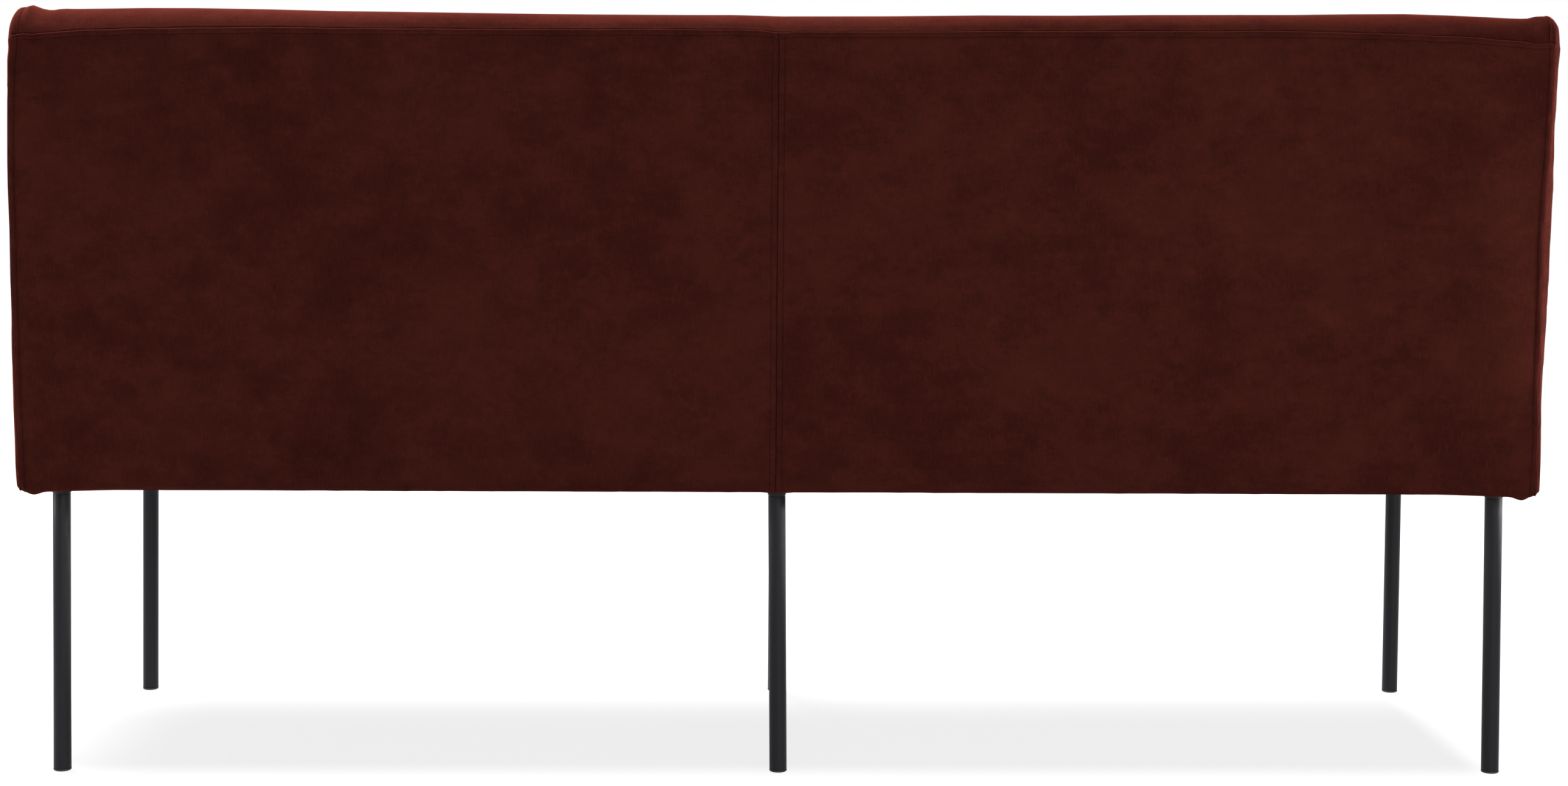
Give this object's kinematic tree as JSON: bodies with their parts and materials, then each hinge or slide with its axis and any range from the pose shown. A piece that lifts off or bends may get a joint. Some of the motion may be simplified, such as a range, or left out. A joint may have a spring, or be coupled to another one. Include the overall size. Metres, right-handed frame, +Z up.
{
  "type": "upholstered banquette bench",
  "caption": "Long upholstered bench with a plain padded seat and a tall leaning back, standing on slim round metal legs.",
  "frame": {"origin": "centre of the bench's box on the floor, under the glides", "axes": "+X along the bench to the right as seen from the front, +Y towards the tall back, so the sitter faces -Y, +Z up"},
  "size_m": [1.8, 0.5998, 0.9],
  "materials": {
    "velvet": "dark rust velvet with a slubbed pile",
    "black_steel": "fine matt black powder coat",
    "glide_plastic": "black moulded plastic",
    "zinc_steel": "zinc plated",
    "timber": "planed softwood",
    "plywood": "sanded plywood with visible layers at the edge",
    "hardboard": "smooth brown hardboard",
    "webbing": "woven elastic webbing",
    "felt": "needled grey felt",
    "foam": "open cell foam",
    "wadding": "white polyester wadding",
    "dust_cloth": "thin black non-woven cloth"
  },
  "bodies": {
    "root": {"back_board": "hardboard", "back_foam": "foam", "back_top_rail": "timber", "back_webbing": "webbing", "centre_base_plank": "plywood", "centre_cross_rail": "timber", "centre_upright": "plywood", "corner_blocks": "timber", "dust_cover": "dust_cloth", "front_base_plank": "plywood", "front_centre_leg_tube": "black_steel", "front_left_leg_tube": "black_steel", "front_padding": "wadding", "front_right_leg_tube": "black_steel", "front_seat_rail": "timber", "inside_back_cover": "velvet", "left_back_padding": "wadding", "left_base_plank": "plywood", "left_cross_rail": "timber", "left_end_upright": "plywood", "left_rear_cover": "velvet", "left_seat_padding": "wadding", "left_seat_rail": "timber", "left_side_cover": "velvet", "left_upright": "plywood", "leg_glides": "glide_plastic", "leg_inserts": "zinc_steel", "rear_base_plank": "plywood", "rear_centre_leg_tube": "black_steel", "rear_left_leg_tube": "black_steel", "rear_padding": "wadding", "rear_right_leg_tube": "black_steel", "rear_seat_rail": "timber", "right_back_padding": "wadding", "right_base_plank": "plywood", "right_cross_rail": "timber", "right_end_upright": "plywood", "right_rear_cover": "velvet", "right_seat_padding": "wadding", "right_seat_rail": "timber", "right_side_cover": "velvet", "right_upright": "plywood", "seat_cover": "velvet", "seat_felt": "felt", "seat_foam": "foam", "seat_webbing": "webbing", "top_foam": "foam"}
  },
  "joints": []
}
